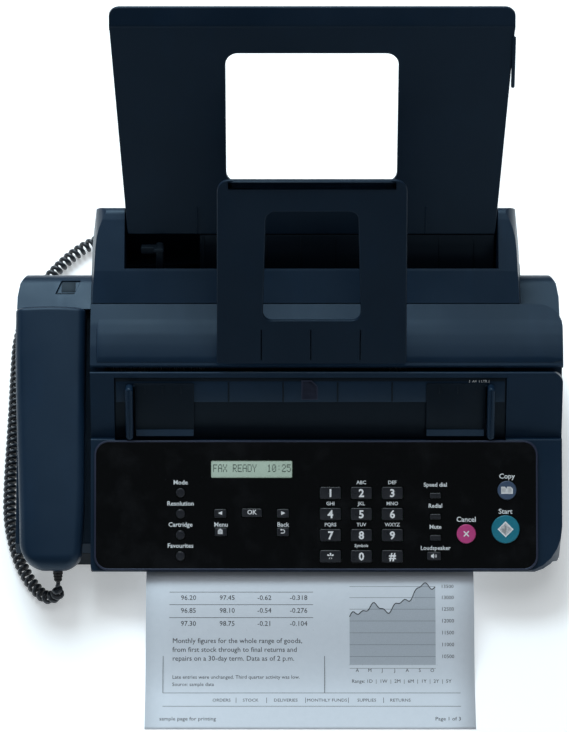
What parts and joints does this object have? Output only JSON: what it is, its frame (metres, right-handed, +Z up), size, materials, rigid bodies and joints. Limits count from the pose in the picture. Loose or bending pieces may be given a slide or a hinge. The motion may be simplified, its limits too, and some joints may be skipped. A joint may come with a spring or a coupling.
{
  "type": "fax machine",
  "caption": "Desktop fax machine with a corded handset in a side bay, sloping control panel, document guides, upright document support, rear paper tray and a page leaving the front slot.",
  "frame": {"origin": "on the desk surface, under the middle of the box round the machine with its page and tray and without its handset cord", "axes": "+Z up, +Y from the front lip to the rear tray, +X to the right of a person facing the control panel"},
  "size_m": [0.3735, 0.4024, 0.2963],
  "materials": {
    "navy_plastic": "fine satin texture",
    "charcoal_plastic": "fine matt texture",
    "gloss_black": "polished",
    "grey_keycap": "satin",
    "teal_key": "satin",
    "magenta_key": "satin",
    "slate_key": "satin",
    "display_window": "clear over a pale green display",
    "circuit_board": "solder mask",
    "black_rubber": "matt",
    "bright_steel": "ground",
    "white_paper": "uncoated"
  },
  "bodies": {
    "base": {"base_casing": "charcoal_plastic", "foot_front_left": "black_rubber", "foot_front_right": "black_rubber", "foot_rear_left": "black_rubber", "foot_rear_right": "black_rubber", "upper_casing": "navy_plastic", "top_cover": "navy_plastic", "rear_housing": "navy_plastic", "feed_plate": "charcoal_plastic", "handset_cradle": "navy_plastic", "carriage_rod": "bright_steel", "scan_bar": "charcoal_plastic", "handset_cord": "charcoal_plastic", "cord_plug": "charcoal_plastic"},
    "front_unit": {"front_unit_shell": "navy_plastic", "panel_fascia": "gloss_black", "lcd_lens": "display_window", "keypad_board": "circuit_board", "document_bed": "charcoal_plastic"},
    "handset": {"handset": "navy_plastic", "cord_strain_relief": "black_rubber"},
    "hook_switch": {"hook_switch": "grey_keycap"},
    "document_guide_left": {"document_guide_left": "charcoal_plastic"},
    "document_guide_right": {"document_guide_right": "charcoal_plastic"},
    "paper_guide": {"paper_guide": "charcoal_plastic"},
    "paper_tray": {"paper_tray": "navy_plastic"},
    "document_support": {"document_support": "navy_plastic"},
    "printed_page": {"printed_page": "white_paper"},
    "print_carriage": {"print_carriage": "charcoal_plastic"},
    "feed_roller": {"feed_roller": "black_rubber"},
    "exit_roller": {"exit_roller": "black_rubber"},
    "document_roller": {"document_roller": "black_rubber"},
    "mode_key": {"mode_key": "grey_keycap"},
    "resolution_key": {"resolution_key": "grey_keycap"},
    "cartridge_key": {"cartridge_key": "grey_keycap"},
    "favourites_key": {"favourites_key": "grey_keycap"},
    "left_key": {"left_key": "grey_keycap"},
    "ok_key": {"ok_key": "grey_keycap"},
    "right_key": {"right_key": "grey_keycap"},
    "menu_key": {"menu_key": "grey_keycap"},
    "back_key": {"back_key": "grey_keycap"},
    "digit_1_key": {"digit_1_key": "grey_keycap"},
    "digit_2_key": {"digit_2_key": "grey_keycap"},
    "digit_3_key": {"digit_3_key": "grey_keycap"},
    "digit_4_key": {"digit_4_key": "grey_keycap"},
    "digit_5_key": {"digit_5_key": "grey_keycap"},
    "digit_6_key": {"digit_6_key": "grey_keycap"},
    "digit_7_key": {"digit_7_key": "grey_keycap"},
    "digit_8_key": {"digit_8_key": "grey_keycap"},
    "digit_9_key": {"digit_9_key": "grey_keycap"},
    "star_key": {"star_key": "grey_keycap"},
    "digit_0_key": {"digit_0_key": "grey_keycap"},
    "hash_key": {"hash_key": "grey_keycap"},
    "speed_dial_key": {"speed_dial_key": "grey_keycap"},
    "redial_key": {"redial_key": "grey_keycap"},
    "mute_key": {"mute_key": "grey_keycap"},
    "loudspeaker_key": {"loudspeaker_key": "grey_keycap"},
    "cancel_key": {"cancel_key": "magenta_key"},
    "copy_key": {"copy_key": "slate_key"},
    "start_key": {"start_key": "teal_key"}
  },
  "joints": [
    {"name": "front_unit_hinge", "type": "hinge", "parent": "base", "child": "front_unit", "pos_m": [0.0175, 0.02286, 0.11], "axis": [-1, 0, 0], "range_deg": [0, 40]},
    {"name": "handset_lift", "type": "slide", "parent": "base", "child": "handset", "axis": [0, -0.4195, 0.9078], "range_m": [0, 0.03]},
    {"name": "hook_switch_travel", "type": "slide", "parent": "base", "child": "hook_switch", "axis": [0, -0.4195, 0.9078], "range_m": [0, 0.003]},
    {"name": "document_guide_left_slide", "type": "slide", "parent": "front_unit", "child": "document_guide_left", "axis": [1, 0, 0], "range_m": [0, 0.045]},
    {"name": "document_guide_right_slide", "type": "slide", "parent": "front_unit", "child": "document_guide_right", "axis": [-1, 0, 0], "range_m": [0, 0.045]},
    {"name": "paper_guide_slide", "type": "slide", "parent": "base", "child": "paper_guide", "axis": [1, 0, 0], "range_m": [0, 0.07]},
    {"name": "paper_tray_pull", "type": "slide", "parent": "base", "child": "paper_tray", "axis": [0, 0.4226, 0.9063], "range_m": [0, 0.05]},
    {"name": "document_support_pull", "type": "slide", "parent": "base", "child": "document_support", "axis": [0, 0.5, 0.866], "range_m": [0, 0.04]},
    {"name": "page_feed", "type": "slide", "parent": "base", "child": "printed_page", "axis": [0, -1, 0], "range_m": [0, 0.04]},
    {"name": "carriage_slide", "type": "slide", "parent": "base", "child": "print_carriage", "axis": [1, 0, 0], "range_m": [-0.195, 0.006]},
    {"name": "feed_roller_spin", "type": "hinge", "parent": "base", "child": "feed_roller", "pos_m": [0.014, 0.07886, 0.0405], "axis": [1, 0, 0], "continuous": true},
    {"name": "exit_roller_spin", "type": "hinge", "parent": "base", "child": "exit_roller", "pos_m": [0.014, -0.03614, 0.0185], "axis": [1, 0, 0], "continuous": true},
    {"name": "document_roller_spin", "type": "hinge", "parent": "base", "child": "document_roller", "pos_m": [0.014, -0.01514, 0.048], "axis": [1, 0, 0], "continuous": true},
    {"name": "mode_key_press", "type": "slide", "parent": "front_unit", "child": "mode_key", "axis": [0, 0.5299, -0.848], "range_m": [0, 0.0008], "stiffness_N_per_m": 500},
    {"name": "resolution_key_press", "type": "slide", "parent": "front_unit", "child": "resolution_key", "axis": [0, 0.5299, -0.848], "range_m": [0, 0.0008], "stiffness_N_per_m": 500},
    {"name": "cartridge_key_press", "type": "slide", "parent": "front_unit", "child": "cartridge_key", "axis": [0, 0.5299, -0.848], "range_m": [0, 0.0008], "stiffness_N_per_m": 500},
    {"name": "favourites_key_press", "type": "slide", "parent": "front_unit", "child": "favourites_key", "axis": [0, 0.5299, -0.848], "range_m": [0, 0.0008], "stiffness_N_per_m": 500},
    {"name": "left_key_press", "type": "slide", "parent": "front_unit", "child": "left_key", "axis": [0, 0.5299, -0.848], "range_m": [0, 0.0008], "stiffness_N_per_m": 500},
    {"name": "ok_key_press", "type": "slide", "parent": "front_unit", "child": "ok_key", "axis": [0, 0.5299, -0.848], "range_m": [0, 0.0008], "stiffness_N_per_m": 500},
    {"name": "right_key_press", "type": "slide", "parent": "front_unit", "child": "right_key", "axis": [0, 0.5299, -0.848], "range_m": [0, 0.0008], "stiffness_N_per_m": 500},
    {"name": "menu_key_press", "type": "slide", "parent": "front_unit", "child": "menu_key", "axis": [0, 0.5299, -0.848], "range_m": [0, 0.0008], "stiffness_N_per_m": 500},
    {"name": "back_key_press", "type": "slide", "parent": "front_unit", "child": "back_key", "axis": [0, 0.5299, -0.848], "range_m": [0, 0.0008], "stiffness_N_per_m": 500},
    {"name": "digit_1_key_press", "type": "slide", "parent": "front_unit", "child": "digit_1_key", "axis": [0, 0.5299, -0.848], "range_m": [0, 0.0008], "stiffness_N_per_m": 500},
    {"name": "digit_2_key_press", "type": "slide", "parent": "front_unit", "child": "digit_2_key", "axis": [0, 0.5299, -0.848], "range_m": [0, 0.0008], "stiffness_N_per_m": 500},
    {"name": "digit_3_key_press", "type": "slide", "parent": "front_unit", "child": "digit_3_key", "axis": [0, 0.5299, -0.848], "range_m": [0, 0.0008], "stiffness_N_per_m": 500},
    {"name": "digit_4_key_press", "type": "slide", "parent": "front_unit", "child": "digit_4_key", "axis": [0, 0.5299, -0.848], "range_m": [0, 0.0008], "stiffness_N_per_m": 500},
    {"name": "digit_5_key_press", "type": "slide", "parent": "front_unit", "child": "digit_5_key", "axis": [0, 0.5299, -0.848], "range_m": [0, 0.0008], "stiffness_N_per_m": 500},
    {"name": "digit_6_key_press", "type": "slide", "parent": "front_unit", "child": "digit_6_key", "axis": [0, 0.5299, -0.848], "range_m": [0, 0.0008], "stiffness_N_per_m": 500},
    {"name": "digit_7_key_press", "type": "slide", "parent": "front_unit", "child": "digit_7_key", "axis": [0, 0.5299, -0.848], "range_m": [0, 0.0008], "stiffness_N_per_m": 500},
    {"name": "digit_8_key_press", "type": "slide", "parent": "front_unit", "child": "digit_8_key", "axis": [0, 0.5299, -0.848], "range_m": [0, 0.0008], "stiffness_N_per_m": 500},
    {"name": "digit_9_key_press", "type": "slide", "parent": "front_unit", "child": "digit_9_key", "axis": [0, 0.5299, -0.848], "range_m": [0, 0.0008], "stiffness_N_per_m": 500},
    {"name": "star_key_press", "type": "slide", "parent": "front_unit", "child": "star_key", "axis": [0, 0.5299, -0.848], "range_m": [0, 0.0008], "stiffness_N_per_m": 500},
    {"name": "digit_0_key_press", "type": "slide", "parent": "front_unit", "child": "digit_0_key", "axis": [0, 0.5299, -0.848], "range_m": [0, 0.0008], "stiffness_N_per_m": 500},
    {"name": "hash_key_press", "type": "slide", "parent": "front_unit", "child": "hash_key", "axis": [0, 0.5299, -0.848], "range_m": [0, 0.0008], "stiffness_N_per_m": 500},
    {"name": "speed_dial_key_press", "type": "slide", "parent": "front_unit", "child": "speed_dial_key", "axis": [0, 0.5299, -0.848], "range_m": [0, 0.0008], "stiffness_N_per_m": 500},
    {"name": "redial_key_press", "type": "slide", "parent": "front_unit", "child": "redial_key", "axis": [0, 0.5299, -0.848], "range_m": [0, 0.0008], "stiffness_N_per_m": 500},
    {"name": "mute_key_press", "type": "slide", "parent": "front_unit", "child": "mute_key", "axis": [0, 0.5299, -0.848], "range_m": [0, 0.0008], "stiffness_N_per_m": 500},
    {"name": "loudspeaker_key_press", "type": "slide", "parent": "front_unit", "child": "loudspeaker_key", "axis": [0, 0.5299, -0.848], "range_m": [0, 0.0008], "stiffness_N_per_m": 500},
    {"name": "cancel_key_press", "type": "slide", "parent": "front_unit", "child": "cancel_key", "axis": [0, 0.5299, -0.848], "range_m": [0, 0.0008], "stiffness_N_per_m": 500},
    {"name": "copy_key_press", "type": "slide", "parent": "front_unit", "child": "copy_key", "axis": [0, 0.5299, -0.848], "range_m": [0, 0.0008], "stiffness_N_per_m": 500},
    {"name": "start_key_press", "type": "slide", "parent": "front_unit", "child": "start_key", "axis": [0, 0.5299, -0.848], "range_m": [0, 0.0008], "stiffness_N_per_m": 500}
  ],
  "couplings": [
    {"joint": "document_guide_right_slide", "follows": "document_guide_left_slide", "ratio": 1},
    {"joint": "hook_switch_travel", "follows": "handset_lift", "ratio": 0.1},
    {"joint": "exit_roller_spin", "follows": "feed_roller_spin", "ratio": -2.3333}
  ]
}
